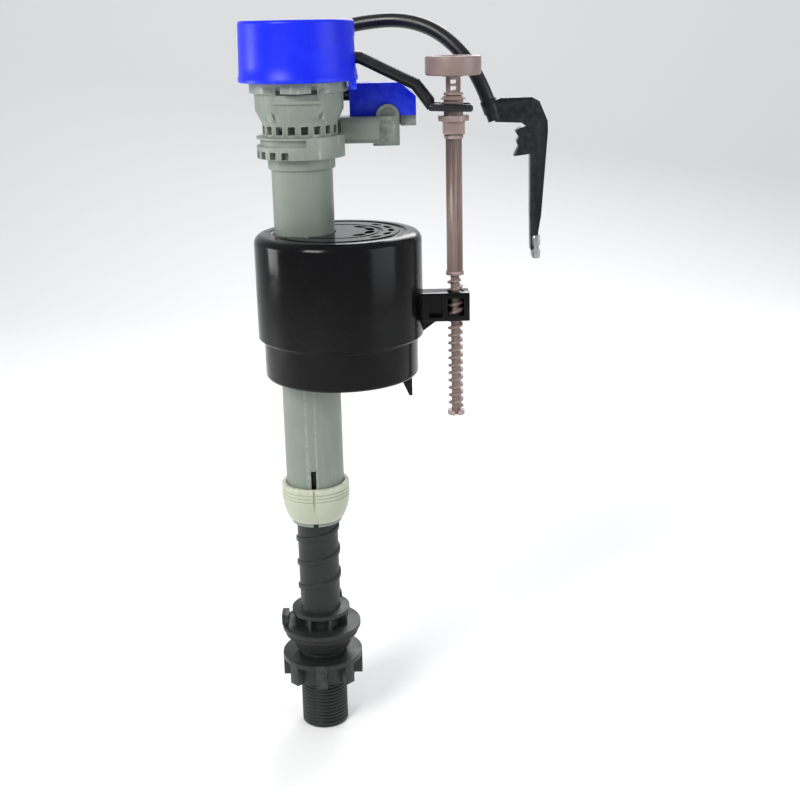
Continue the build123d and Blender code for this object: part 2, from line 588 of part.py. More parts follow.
def clamp_barb():
    """Hose barb at the clamp's closed end; the refill tube is pushed against its collar."""
    start = Vector(*HOSE_ROUTE[0])
    way = (start - Vector(*HOSE_ROUTE[1])).normalized()
    lie = Plane(origin=start, z_dir=way)
    collar = lie * Pos(0, 0, 1.0) * Cylinder(HOSE_R, 2.0)
    return collar - lie * Cylinder(HOSE_BORE_R, 6.0)


def clamp_roller():
    z = ROLLER_Z
    half = ROLLER_W / 2
    wheel = cross_rod(ROLLER_R, ROLLER_X, z, ARM_Y - half, ARM_Y + half)
    for i in range(20):
        tooth = cross_rod(0.45, 0, ROLLER_R + 0.1, ARM_Y - half - 1, ARM_Y + half + 1)
        wheel -= Pos(ROLLER_X, 0, z) * Rot(0, 18 * i, 0) * tooth
    wheel -= cross_rod(ROLLER_R - 1.4, ROLLER_X, z, ARM_Y - half - 1, ARM_Y - half + 1.0)
    end = ROLLER_AXLE / 2
    return wheel + cross_rod(AXLE_R, ROLLER_X, z, ARM_Y - end, ARM_Y + end)


def hose_radii(route):
    """Each corner's arc: 0.45 of the shorter run, over the tangent of half the turn."""
    points = [Vector(*p) for p in route]
    radii = []
    for a, b, c in zip(points, points[1:], points[2:]):
        turn = math.radians((b - a).get_angle(c - b))
        radii.append(0.45 * min((b - a).length, (c - b).length) / math.tan(turn / 2))
    return radii


def refill_tube():
    radii = hose_radii(HOSE_ROUTE)
    path = FilletPolyline(*HOSE_ROUTE, radius=radii)
    start = Plane(origin=path @ 0, z_dir=path % 0)
    tube = sweep(start * Circle(HOSE_R), path=path)
    print("refill tube length %.1f, volume %.0f of %.0f" % (
        path.length, tube.volume, path.length * math.pi * HOSE_R ** 2))
    print("bend radii", [round(r, 1) for r in radii])
    return tube


def overflow_elbow():
    """Elbow that clips into the overflow pipe: socket, cross bar, tapering leg with teeth."""
    end = Vector(*HOSE_ROUTE[-1])
    way = (end - Vector(*HOSE_ROUTE[-2])).normalized()
    y = end.Y
    collar = Plane(origin=end + way * 3.0, z_dir=way) * Cylinder(HOSE_R + 0.5, 6.0)
    spigot = Plane(origin=end + way * 7.0, z_dir=way) * Cylinder(HOSE_R, 5.0)
    outline = [(3.2, -9.5), (2.0, -0.3), (5.5, 0.9), (19.5, 1.1), (23.0, -0.7), (26.8, -9.5),
               (27.0, -14.0), (24.3, -51.8), (23.0, -60.0), (23.0, -66.5), (19.6, -68.0), (19.2, -51.8),
               (19.0, -24.1), (11.8, -24.9), (13.8, -20.7), (13.0, -18.5), (14.0, -16.5), (12.4, -13.9),
               (14.4, -12.3), (17.6, -12.1), (15.0, -10.1)]
    leg = Pos(end.X, 0, end.Z) * plate(outline, ELBOW_T, y)
    return collar + spigot + leg


def elbow_clip():
    """Small spring clip on the elbow's tip."""
    end = Vector(*HOSE_ROUTE[-1])
    half = ELBOW_T / 2
    clip = block(23, 24, -half, half, -72, -61)
    clip += block(19.6, 24, -half - 0.9, -half, -68.3, -62.5)
    clip += block(19.6, 24, half, half + 0.9, -68.3, -62.5)
    clip += block(20.4, 24, -half, half, -72, -71)
    return Pos(*end) * clip


# ---------------------------------------------------------------- write every node
NODES = [
    shank, riser_seal, shank_washer, mounting_nut,
    outer_tube, valve_head, riser_tube, valve_seat, diaphragm, seal_retainer, cap, lever_pin,
    take_off_ring, roller_clamp, clamp_barb, refill_tube, overflow_elbow, elbow_clip,
    lock_ring, lever, plunger, rod_bushing, adjust_rod, rod_stop, float_cup, float_base, clamp_roller,
]

for build in NODES:
    solid = build()
    export_step(solid, "parts/%s.step" % build.__name__)
    print("%-16s %6d mm3" % (build.__name__, solid.volume))
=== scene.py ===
# %% [markdown]
# # A toilet fill valve
# The valve stands in a toilet's tank. Water comes up through the shank, and the float shuts it off.
# Its moving parts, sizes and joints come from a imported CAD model, and this lesson gives it its looks.
# The frame is loaded once, and every place below is read from it or given in metres beside it.

# %% Load the frame
import json
import math

import bpy
from mathutils import Matrix, Vector


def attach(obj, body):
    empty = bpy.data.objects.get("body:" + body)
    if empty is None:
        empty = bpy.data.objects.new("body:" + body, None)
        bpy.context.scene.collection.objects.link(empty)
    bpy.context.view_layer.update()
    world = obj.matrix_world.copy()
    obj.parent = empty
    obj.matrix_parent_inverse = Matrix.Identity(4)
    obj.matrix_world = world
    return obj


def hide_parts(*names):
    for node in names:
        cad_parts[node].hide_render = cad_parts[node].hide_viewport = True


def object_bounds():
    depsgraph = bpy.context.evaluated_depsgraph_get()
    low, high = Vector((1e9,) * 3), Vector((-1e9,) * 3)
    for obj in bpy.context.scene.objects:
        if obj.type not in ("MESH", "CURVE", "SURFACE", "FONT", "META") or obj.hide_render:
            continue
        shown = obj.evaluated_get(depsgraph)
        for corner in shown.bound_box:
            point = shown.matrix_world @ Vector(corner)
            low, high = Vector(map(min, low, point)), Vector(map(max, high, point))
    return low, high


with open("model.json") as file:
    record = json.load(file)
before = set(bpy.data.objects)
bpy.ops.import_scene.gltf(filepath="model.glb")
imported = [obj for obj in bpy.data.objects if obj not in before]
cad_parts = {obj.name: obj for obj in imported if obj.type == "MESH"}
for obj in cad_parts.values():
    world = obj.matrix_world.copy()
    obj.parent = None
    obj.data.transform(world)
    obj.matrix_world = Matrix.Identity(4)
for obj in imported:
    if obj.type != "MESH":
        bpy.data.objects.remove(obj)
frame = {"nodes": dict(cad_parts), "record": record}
cad_low, cad_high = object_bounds()
nodes = frame["nodes"]
MM = 0.001
print("CAD box", [round(v, 4) for v in cad_low], [round(v, 4) for v in cad_high])

# %% [markdown]
# ## The camera
# The viewer stands level with the top of the cap and about half a metre away, so the cap's top is seen
# edge-on while the flange far below is seen from above. A camera that is tipped down from that height
# keeps those angles, and the slight roll lets the valve lean as it does in its tank.

# %% Camera
CAMERA_AT = Vector((0.035, -0.556, 0.280))
AIM_LEFT = 0.002
AIM_LOW = 0.004
ROLL = math.radians(1.3)
LENS = 57.0

target = Vector(((cad_low.x + cad_high.x) / 2 - AIM_LEFT, 0.0, (cad_low.z + cad_high.z) / 2 - AIM_LOW))
camera_data = bpy.data.cameras.new("camera")
camera_data.lens = LENS
camera = bpy.data.objects.new("camera", camera_data)
camera.location = CAMERA_AT
look = (target - CAMERA_AT).to_track_quat("-Z", "Y")
camera.rotation_euler = (look.to_matrix() @ Matrix.Rotation(-ROLL, 3, "Z")).to_euler()
bpy.context.scene.collection.objects.link(camera)
bpy.context.scene.camera = camera
tip = math.asin((CAMERA_AT.z - target.z) / (target - CAMERA_AT).length)
print("camera looks down by", round(math.degrees(tip), 1), "degrees")

# %% [markdown]
# ## Floor and light
# A pale floor that curves up into a wall gives glossy black plastic something bright to reflect.
# One soft light makes the long highlights, a wider and weaker one opens the shadows, two more pick out the
# back and the left edge, and the world fills the rest. The view transform is the plain one, so that black
# stays black.

# %% Stage and lights
FLOOR_Z = cad_low.z - 0.0005


def backdrop(name, floor_z, depth, height, width, radius, steps=16):
    """A floor that bends up into a wall behind the object."""
    profile = [(-depth, 0.0)]
    for i in range(steps + 1):
        a = math.pi / 2 * i / steps
        profile.append((depth - radius + radius * math.sin(a), radius - radius * math.cos(a)))
    profile.append((depth, height))
    verts = [(x, y, floor_z + z) for y, z in profile for x in (-width, width)]
    faces = [(2 * i, 2 * i + 1, 2 * i + 3, 2 * i + 2) for i in range(len(profile) - 1)]
    mesh = bpy.data.meshes.new(name)
    mesh.from_pydata(verts, [], faces)
    for face in mesh.polygons:
        face.use_smooth = True
    thing = bpy.data.objects.new(name, mesh)
    bpy.context.scene.collection.objects.link(thing)
    return thing


def soft_light(name, place, aim, size, power, tint=(1.0, 1.0, 1.0)):
    """A square area light pointed at a place."""
    data = bpy.data.lights.new(name, "AREA")
    data.shape = "SQUARE"
    data.size = size
    data.energy = power
    data.color = tint
    light = bpy.data.objects.new(name, data)
    light.location = place
    light.rotation_euler = (Vector(aim) - Vector(place)).to_track_quat("-Z", "Y").to_euler()
    bpy.context.scene.collection.objects.link(light)
    return light


stage = backdrop("stage", FLOOR_Z, depth=1.6, height=2.2, width=3.0, radius=0.7)
paper = bpy.data.materials.new("pale_paper")
paper.use_nodes = True
matt = paper.node_tree.nodes["Principled BSDF"]
matt.inputs["Base Color"].default_value = (0.83, 0.83, 0.82, 1)
matt.inputs["Roughness"].default_value = 0.9
stage.data.materials.append(paper)

MIDDLE = (0.0, 0.0, 0.12)
UPPER_PART = (0.0, 0.0, 0.15)
soft_light("key", (-0.55, -0.80, 0.80), MIDDLE, size=0.45, power=11.0, tint=(1.0, 0.985, 0.96))
soft_light("fill", (0.95, -0.45, 0.35), MIDDLE, size=0.7, power=4.0, tint=(0.95, 0.97, 1.0))
soft_light("back", (0.25, 0.9, 0.75), UPPER_PART, size=0.6, power=6.0)
soft_light("side_strip", (-0.9, 0.1, 0.2), MIDDLE, size=0.3, power=2.5)

world = bpy.data.worlds.new("studio")
world.use_nodes = True
sky = world.node_tree.nodes["Background"]
sky.inputs["Color"].default_value = (0.93, 0.95, 1.0, 1)
sky.inputs["Strength"].default_value = 0.62
bpy.context.scene.world = world
bpy.context.scene.view_settings.view_transform = "Standard"
print("floor at", round(FLOOR_Z, 4))

# %% [markdown]
# ## Selecting by place
# Blender's operators act on what is selected, so each step first selects the wanted piece, or its wanted
# faces or edges. By hand one would click on them. Here a small test on a face's centre and normal, or on an
# edge's two ends, picks the same ones each time.


# %% Selecting
def start_fresh():
    """Object mode with nothing selected."""
    if bpy.context.object and bpy.context.object.mode != "OBJECT":
        bpy.ops.object.mode_set(mode="OBJECT")
    bpy.ops.object.select_all(action="DESELECT")


def make_active(piece):
    """Selects one piece and nothing else."""
    start_fresh()
    piece.select_set(True)
    bpy.context.view_layer.objects.active = piece


def pick_faces(piece, keep):
    """Edit mode with only the faces selected whose centre and normal pass the test."""
    make_active(piece)
    bpy.ops.object.mode_set(mode="EDIT")
    bpy.ops.mesh.select_mode(type="FACE")
    bpy.ops.mesh.select_all(action="DESELECT")
    bpy.ops.object.mode_set(mode="OBJECT")
    for face in piece.data.polygons:
        face.select = keep(piece.matrix_world @ face.center, face.normal)
    bpy.ops.object.mode_set(mode="EDIT")


def pick_edges(piece, keep):
    """Edit mode with only the edges selected whose two ends pass the test."""
    make_active(piece)
    bpy.ops.object.mode_set(mode="EDIT")
    bpy.ops.mesh.select_mode(type="EDGE")
    bpy.ops.mesh.select_all(action="DESELECT")
    bpy.ops.object.mode_set(mode="OBJECT")
    places = [piece.matrix_world @ v.co for v in piece.data.vertices]
    for edge in piece.data.edges:
        edge.select = keep(places[edge.vertices[0]], places[edge.vertices[1]])
    bpy.ops.object.mode_set(mode="EDIT")


# %% [markdown]
# ## Cutting, fusing and rounding
# A mould's cores leave holes and slots, and its cavities run into each other. Boolean modifiers do the same
# to a mesh, and a bevel modifier rounds its sharp edges. Each modifier is applied at once, so that the next
# step works on the finished shape.


# %% Modifiers
def apply_modifier(piece, kind, **settings):
    """Adds a modifier with its settings, and applies it."""
    make_active(piece)
    modifier = piece.modifiers.new(kind.lower(), kind)
    for key, value in settings.items():
        setattr(modifier, key, value)
    bpy.ops.object.modifier_apply(modifier=modifier.name)


def cut_with(piece, cutter):
    """Cuts one piece with another, and removes the cutter."""
    apply_modifier(piece, "BOOLEAN", object=cutter, operation="DIFFERENCE", solver="EXACT")
    bpy.data.objects.remove(cutter)


def join_to(piece, other):
    """Fuses another piece into this one, and removes the other."""
    apply_modifier(piece, "BOOLEAN", object=other, operation="UNION", solver="EXACT")
    bpy.data.objects.remove(other)


def soften(piece, width_mm, angle_deg=50.0):
    """Rounds the edges that turn by more than an angle."""
    apply_modifier(piece, "BEVEL", width=width_mm * MM, segments=2, limit_method="ANGLE",
                   angle_limit=math.radians(angle_deg), use_clamp_overlap=True)


# %% [markdown]
# ## Starting shapes
# Most of this valve was turned or moulded round an axis, so its pieces start as a half profile that is drawn
# point by point and spun. Bricks and pegs are a cube and a cylinder stretched to size, and they serve as
# cutters or are fused on. All their sizes are in millimetres.

# %% Shapes
POINT_WELD = 0.000001
ORIGIN = (0, 0, 0)


def spun(profile, steps, centre_x=0.0):
    """Draws a half profile of (radius, height) millimetres, and spins it round an upright axis."""
    start_fresh()
    bpy.ops.mesh.primitive_plane_add(size=0.001, location=ORIGIN)
    piece = bpy.context.object
    bpy.ops.object.mode_set(mode="EDIT")
    bpy.ops.mesh.select_mode(type="VERT")
    bpy.ops.mesh.select_all(action="SELECT")
    bpy.ops.mesh.merge(type="CENTER")
    places = [Vector((centre_x + r * MM, 0.0, z * MM)) for r, z in profile]
    places.append(places[0])
    bpy.ops.transform.translate(value=places[0])
    for before, after in zip(places, places[1:]):
        bpy.ops.mesh.extrude_region_move(TRANSFORM_OT_translate={"value": after - before})
    bpy.ops.mesh.select_all(action="SELECT")
    bpy.ops.mesh.remove_doubles(threshold=POINT_WELD)
    bpy.ops.mesh.select_all(action="SELECT")
    bpy.ops.mesh.spin(steps=steps, angle=2 * math.pi, center=(centre_x, 0, 0), axis=(0, 0, 1))
    bpy.ops.mesh.select_all(action="SELECT")
    bpy.ops.mesh.remove_doubles(threshold=POINT_WELD)
    bpy.ops.mesh.normals_make_consistent(inside=False)
    bpy.ops.object.mode_set(mode="OBJECT")
    return piece


def arc(centre_r, centre_z, radius, start_deg, end_deg, count):
    """Profile points on an arc, in millimetres."""
    angles = [math.radians(start_deg + (end_deg - start_deg) * i / count) for i in range(count + 1)]
    return [(centre_r + radius * math.cos(a), centre_z + radius * math.sin(a)) for a in angles]


def brick(x0, x1, y0, y1, z0, z1, bevel=0.0):
    """A cube stretched between two corners in millimetres, with its edges rounded."""
    start_fresh()
    middle = Vector(((x0 + x1) / 2, (y0 + y1) / 2, (z0 + z1) / 2)) * MM
    bpy.ops.mesh.primitive_cube_add(size=1.0, location=middle)
    piece = bpy.context.object
    piece.scale = ((x1 - x0) * MM, (y1 - y0) * MM, (z1 - z0) * MM)
    bpy.ops.object.transform_apply(location=True, rotation=True, scale=True)
    if bevel:
        bpy.ops.object.mode_set(mode="EDIT")
        bpy.ops.mesh.select_all(action="SELECT")
        bpy.ops.mesh.bevel(offset=bevel * MM, offset_type="OFFSET", segments=3, affect="EDGES")
        bpy.ops.object.mode_set(mode="OBJECT")
    return piece


def peg(radius, x, y, z0, z1, vertices):
    """An upright cylinder in millimetres."""
    start_fresh()
    bpy.ops.mesh.primitive_cylinder_add(radius=radius * MM, depth=(z1 - z0) * MM, vertices=vertices,
                                        location=(x * MM, y * MM, (z0 + z1) / 2 * MM))
    bpy.ops.object.transform_apply(location=True, rotation=True, scale=True)
    return bpy.context.object


def cross_peg(radius, half_length, x, y, z):
    """A cylinder in millimetres that lies across, along y."""
    piece = peg(radius, 0, 0, -half_length, half_length, vertices=32)
    make_active(piece)
    bpy.ops.transform.rotate(value=math.pi / 2, orient_axis="X", center_override=ORIGIN)
    bpy.ops.transform.translate(value=(x * MM, y * MM, z * MM))
    return piece


# %% [markdown]
# ## Finishing a piece
# A finished piece has its place in its mesh, points its faces outwards, shades smooth over its gentle bends,
# rides on a body of the frame, and takes the place of the CAD node it stands for.

# %% Finishing
WELD = 0.00001


def paint(piece, material):
    """Gives a piece one material."""
    piece.data.materials.clear()
    piece.data.materials.append(material)


def finish_piece(piece, name, body, material, stands_for, smooth=32.0, outward=True):
    """Names a piece, puts its place in its mesh, smooths bends under an angle, and ties it to the frame."""
    make_active(piece)
    bpy.ops.object.transform_apply(location=True, rotation=True, scale=True)
    if outward:
        bpy.ops.object.mode_set(mode="EDIT")
        bpy.ops.mesh.select_all(action="SELECT")
        bpy.ops.mesh.remove_doubles(threshold=WELD)
        bpy.ops.mesh.normals_make_consistent(inside=False)
        bpy.ops.object.mode_set(mode="OBJECT")
    bpy.ops.object.shade_smooth_by_angle(angle=math.radians(smooth))
    piece.name = name
    piece.data.name = name
    paint(piece, material)
    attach(piece, body)
    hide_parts(*stands_for)
    print(name, "has", len(piece.data.polygons), "faces")
    return piece


# %% [markdown]
# ## Shared surface effects
# Moulded plastic is never one flat colour: it has a fine spark grain from the mould, faint flow marks,
# rubbed corners, and in a tank it gathers a little lime. Each effect is built once as a node group that
# gives a mask or a height, and each material places it with its own values.


# %% Node groups
def new_group(name, numbers, outputs):
    """A shader group with named number inputs and named outputs, and its two end nodes."""
    group = bpy.data.node_groups.new(name, "ShaderNodeTree")
    for label, value in numbers.items():
        socket = group.interface.new_socket(name=label, in_out="INPUT", socket_type="NodeSocketFloat")
        socket.default_value = value
    for label in outputs:
        group.interface.new_socket(name=label, in_out="OUTPUT", socket_type="NodeSocketFloat")
    return group, group.nodes.new("NodeGroupInput"), group.nodes.new("NodeGroupOutput")


def add_node(tree, kind, links=None, **settings):
    """A node with its settings, and links from other nodes' sockets into its inputs."""
    node = tree.nodes.new(kind)
    for key, value in settings.items():
        setattr(node, key, value)
    for key, source in (links or {}).items():
        if hasattr(source, "is_output"):
            tree.links.new(source, node.inputs[key])
        else:
            node.inputs[key].default_value = source
    return node


def maths(tree, operation, *values, clamp=False):
    """One step of arithmetic on numbers or sockets."""
    return add_node(tree, "ShaderNodeMath", dict(enumerate(values)), operation=operation,
                    use_clamp=clamp).outputs[0]


def ramp(tree, value, low, high, to_low=0.0, to_high=1.0):
    """Stretches the range from low to high onto another, and holds it at the ends."""
    return add_node(tree, "ShaderNodeMapRange", {"Value": value, "From Min": low, "From Max": high,
                                                 "To Min": to_low, "To Max": to_high}).outputs[0]


def noise(tree, place, size, **inputs):
    """Noise with patches of a size in millimetres."""
    scale = maths(tree, "DIVIDE", 1000.0, size)
    return add_node(tree, "ShaderNodeTexNoise", {"Vector": place, "Scale": scale, **inputs}).outputs["Fac"]


# %% [markdown]
# ## Mould grain
# A mould is spark-eroded, which leaves a grain finer than half a millimetre. A fine noise gives its height,
# and a slow one the faint flow marks that change the tone and gloss.


# %% Mould grain
def grain_group():
    """Spark grain of a mould: a fine height, and a slow mottle for colour and gloss."""
    tree, given, result = new_group("mould_grain", {"Grain Size": 0.4, "Mottle Size": 12.0},
                                    ["Height", "Mottle"])
    place = add_node(tree, "ShaderNodeTexCoord").outputs["Object"]
    fine = noise(tree, place, given.outputs["Grain Size"], Detail=3.0, Roughness=0.6)
    slow = noise(tree, place, given.outputs["Mottle Size"], Detail=4.0, Distortion=0.6)
    tree.links.new(fine, result.inputs["Height"])
    tree.links.new(slow, result.inputs["Mottle"])
    return tree


MOULD_GRAIN = grain_group()
print("made", MOULD_GRAIN.name)

# %% [markdown]
# ## Edge wear
# Handling rubs the corners pale. Pointiness finds the convex edges, and noise breaks the line up, because
# wear is never even.


# %% Edge wear
def wear_group():
    """Rubbed convex edges, broken up by noise."""
    tree, given, result = new_group("edge_wear", {"Start": 0.54, "Patch Size": 2.5}, ["Mask"])
    shape = add_node(tree, "ShaderNodeNewGeometry")
    place = add_node(tree, "ShaderNodeTexCoord").outputs["Object"]
    patches = noise(tree, place, given.outputs["Patch Size"], Detail=5.0)
    end = maths(tree, "ADD", given.outputs["Start"], 0.08)
    edge = ramp(tree, shape.outputs["Pointiness"], given.outputs["Start"], end)
    mask = maths(tree, "MULTIPLY", edge, ramp(tree, patches, 0.35, 0.65))
    tree.links.new(mask, result.inputs["Mask"])
    return tree


EDGE_WEAR = wear_group()
print("made", EDGE_WEAR.name)

# %% [markdown]
# ## Lime film
# Hard water dries to a chalky film. It runs down in tall streaks, so the noise is stretched upwards, and it
# also settles where a face looks up.


# %% Lime film
def lime_group():
    """Chalky film: pale runs down the sides, and a little more on faces that look up."""
    tree, given, result = new_group("lime_film", {"Run Width": 5.0, "Reach": 0.5}, ["Mask"])
    shape = add_node(tree, "ShaderNodeNewGeometry")
    place = add_node(tree, "ShaderNodeTexCoord").outputs["Object"]
    tall = add_node(tree, "ShaderNodeMapping", {"Vector": place, "Scale": (1.0, 1.0, 0.12)}).outputs[0]
    runs = noise(tree, tall, given.outputs["Run Width"], Detail=6.0, Roughness=0.65)
    side = ramp(tree, runs, 0.56, 0.8)
    upward = add_node(tree, "ShaderNodeSeparateXYZ", {0: shape.outputs["Normal"]}).outputs["Z"]
    settled = maths(tree, "ADD", side, ramp(tree, upward, 0.6, 1.0, to_high=0.35))
    mask = maths(tree, "MULTIPLY", settled, given.outputs["Reach"], clamp=True)
    tree.links.new(mask, result.inputs["Mask"])
    return tree


LIME_FILM = lime_group()
print("made", LIME_FILM.name)

# %% [markdown]
# ## Hair scratches
# Glossy plastic picks up hair-thin scratches. Where a stretched noise crosses its middle value, it does so in
# long thin lines, and two of them at different turns make the scratches cross.


# %% Hair scratches
def scratch_group():
    """Hair scratches from handling, in two directions."""
    tree, given, result = new_group("hair_scratches", {"Spacing": 6.0}, ["Mask"])
    place = add_node(tree, "ShaderNodeTexCoord").outputs["Object"]
    masks = []
    for turn in (0.5, 2.1):
        along = add_node(tree, "ShaderNodeMapping", {"Vector": place, "Rotation": (turn, turn * 0.7, turn),
                                                     "Scale": (1.0, 0.06, 1.0)}).outputs[0]
        lines = noise(tree, along, given.outputs["Spacing"], Detail=2.0, Distortion=0.2)
        away = maths(tree, "ABSOLUTE", maths(tree, "SUBTRACT", lines, 0.5))
        masks.append(ramp(tree, away, 0.006, 0.0))
    tree.links.new(maths(tree, "MAXIMUM", *masks), result.inputs["Mask"])
    return tree


HAIR_SCRATCHES = scratch_group()
print("made", HAIR_SCRATCHES.name)

# %% [markdown]
# ## Materials
# Every finish on this valve is moulded plastic, rubber or steel, so one recipe mixes the effects above
# and each finish sets its own colours, gloss and scale. The recipe tints the plastic with the slow mottle,
# pales it at rubbed edges and under lime, and lets the same masks break up the gloss.

# %% The moulded recipe
MOTTLE_SIZE = 14.0
RUN_WIDTH = 5.0
WORN_PATCH = 2.2
SOFT_DEPTH = (0.004, 0.003, 0.002)


def use_group(tree, group, **values):
    """An effect with its values; an underscore stands for the space in an input's name."""
    node = tree.nodes.new("ShaderNodeGroup")
    node.node_tree = group
    for key, value in values.items():
        node.inputs[key.replace("_", " ")].default_value = value
    return node


def blend_colour(tree, mask, below, above):
    """A colour mix driven by a mask; each side is a colour or another node's socket."""
    mix = tree.nodes.new("ShaderNodeMix")
    mix.data_type = "RGBA"
    tree.links.new(mask, mix.inputs["Factor"])
    for socket, colour in ((mix.inputs[6], below), (mix.inputs[7], above)):
        if hasattr(colour, "is_output"):
            tree.links.new(colour, socket)
        else:
            socket.default_value = (*colour, 1.0)
    return mix.outputs[2]


def moulded(name, dark, light, roughness, worn, grain, grain_depth, lime, lime_colour=(0.62, 0.62, 0.56),
            scratches=7.0, wear_start=0.53, subsurface=0.0, specular=0.5, metallic=0.0):
    """A moulded finish: two tones, a gloss range, rubbed edges, lime and hair scratches."""
    material = bpy.data.materials.new(name)
    material.use_nodes = True
    tree = material.node_tree
    shader = tree.nodes["Principled BSDF"]
    shader.inputs["Subsurface Weight"].default_value = subsurface
    shader.inputs["Subsurface Radius"].default_value = SOFT_DEPTH
    shader.inputs["Subsurface Scale"].default_value = 1.0
    shader.inputs["Specular IOR Level"].default_value = specular
    shader.inputs["Metallic"].default_value = metallic
    skin = use_group(tree, MOULD_GRAIN, Grain_Size=grain, Mottle_Size=MOTTLE_SIZE)
    edges = use_group(tree, EDGE_WEAR, Start=wear_start, Patch_Size=WORN_PATCH)
    film = use_group(tree, LIME_FILM, Run_Width=RUN_WIDTH, Reach=lime)
    hairs = use_group(tree, HAIR_SCRATCHES, Spacing=scratches)
    body = blend_colour(tree, skin.outputs["Mottle"], dark, light)
    rubbed = blend_colour(tree, edges.outputs["Mask"], body, worn)
    chalky = blend_colour(tree, film.outputs["Mask"], rubbed, lime_colour)
    tree.links.new(chalky, shader.inputs["Base Color"])
    # the slow mottle sets the gloss, and lime and scratches dull it
    gloss = ramp(tree, skin.outputs["Mottle"], 0.3, 0.7, roughness - 0.05, roughness + 0.06)
    dull = maths(tree, "MULTIPLY_ADD", film.outputs["Mask"], 0.5, gloss)
    rough = maths(tree, "MULTIPLY_ADD", hairs.outputs["Mask"], 0.12, dull, clamp=True)
    tree.links.new(rough, shader.inputs["Roughness"])
    # scratches sink into the grain
    height = maths(tree, "MULTIPLY_ADD", hairs.outputs["Mask"], -0.6, skin.outputs["Height"])
    bump = add_node(tree, "ShaderNodeBump", {"Height": height, "Distance": MM, "Strength": grain_depth})
    tree.links.new(bump.outputs["Normal"], shader.inputs["Normal"])
    return material


# %% The valve's finishes
blue_plastic = moulded("blue_plastic", (0.0015, 0.009, 0.52), (0.004, 0.020, 0.72), 0.34, (0.03, 0.08, 0.80),
                       grain=0.5, grain_depth=0.04, lime=0.05, lime_colour=(0.12, 0.18, 0.80), specular=0.22)
body_plastic = moulded("body_plastic", (0.150, 0.178, 0.150), (0.205, 0.238, 0.203), 0.42, (0.31, 0.34, 0.30),
                       grain=0.55, grain_depth=0.09, lime=0.20, lime_colour=(0.42, 0.43, 0.37), specular=0.4)
base_plastic = moulded("base_plastic", (0.0075, 0.0095, 0.0085), (0.014, 0.0175, 0.0155), 0.38,
                       (0.035, 0.042, 0.037), grain=0.5, grain_depth=0.08, lime=0.06,
                       lime_colour=(0.09, 0.10, 0.09), specular=0.32)
float_plastic = moulded("float_plastic", (0.0012, 0.0012, 0.0014), (0.0020, 0.0020, 0.0023), 0.15,
                        (0.008, 0.008, 0.008), grain=1.6, grain_depth=0.010, lime=0.02,
                        lime_colour=(0.03, 0.03, 0.03), scratches=11.0, specular=0.16)
black_plastic = moulded("black_plastic", (0.0035, 0.0035, 0.004), (0.006, 0.006, 0.007), 0.30,
                        (0.02, 0.02, 0.02), grain=0.6, grain_depth=0.05, lime=0.03,
                        lime_colour=(0.05, 0.05, 0.05), specular=0.35)
elbow_plastic = moulded("elbow_plastic", (0.004, 0.0045, 0.005), (0.007, 0.008, 0.0085), 0.30,
                        (0.018, 0.02, 0.02), grain=0.55, grain_depth=0.06, lime=0.03,
                        lime_colour=(0.05, 0.05, 0.05), specular=0.22, wear_start=0.56)
ring_plastic = moulded("ring_plastic", (0.325, 0.345, 0.265), (0.425, 0.445, 0.350), 0.36, (0.55, 0.56, 0.46),
                       grain=0.5, grain_depth=0.05, lime=0.12, subsurface=0.25, specular=0.45)
rod_plastic = moulded("rod_plastic", (0.165, 0.115, 0.102), (0.250, 0.185, 0.168), 0.32, (0.36, 0.29, 0.27),
                      grain=0.6, grain_depth=0.04, lime=0.12, lime_colour=(0.45, 0.40, 0.36), subsurface=0.2,
                      specular=0.45)
roller_plastic = moulded("roller_plastic", (0.17, 0.175, 0.17), (0.25, 0.255, 0.25), 0.42, (0.38, 0.38, 0.37),
                         grain=0.5, grain_depth=0.08, lime=0.1)
inner_plastic = moulded("inner_plastic", (0.055, 0.062, 0.057), (0.085, 0.094, 0.086), 0.42,
                        (0.16, 0.16, 0.15), grain=0.5, grain_depth=0.07, lime=0.1)
seal_rubber = moulded("seal_rubber", (0.006, 0.006, 0.006), (0.012, 0.012, 0.0115), 0.62, (0.03, 0.03, 0.03),
                      grain=0.9, grain_depth=0.16, lime=0.15, lime_colour=(0.10, 0.10, 0.095), specular=0.3)
black_vinyl = moulded("black_vinyl", (0.0035, 0.0035, 0.0035), (0.006, 0.006, 0.006), 0.30,
                      (0.015, 0.015, 0.015), grain=1.2, grain_depth=0.03, lime=0.02,
                      lime_colour=(0.04, 0.04, 0.04), specular=0.4)
pin_steel = moulded("pin_steel", (0.24, 0.25, 0.25), (0.38, 0.39, 0.39), 0.32, (0.6, 0.6, 0.6),
                    grain=0.35, grain_depth=0.05, lime=0.08, metallic=1.0)
print("finishes:", len(bpy.data.materials))

# %% [markdown]
# ## The refill tube
# A black vinyl tube, 6.4 mm thick, starts at the barb inside the roller clamp, bends up behind the head and
# arches over to the overflow elbow. A bevelled NURBS curve is the plain way to draw it: its control points
# are the route, and the curve eases round them as a soft tube does.

# %% Refill tube
TUBE_D = 0.0064
TUBE_ROUTE = [
    (0.0440, 0.0260, 0.2480),
    (0.0275, 0.0259, 0.2481),
    (0.0110, 0.0254, 0.2478),
    (-0.0060, 0.0263, 0.2474),
    (-0.0158, 0.0308, 0.2526),
    (-0.0194, 0.0380, 0.2608),
    (-0.0162, 0.0452, 0.2686),
    (-0.0065, 0.0496, 0.2732),
    (0.0105, 0.0495, 0.2746),
    (0.0280, 0.0460, 0.2782),
    (0.0450, 0.0415, 0.2793),
    (0.0600, 0.0365, 0.2748),
    (0.0720, 0.0315, 0.2645),
    (0.0800, 0.0288, 0.2515),
    (0.0830, 0.0280, 0.2435),
]

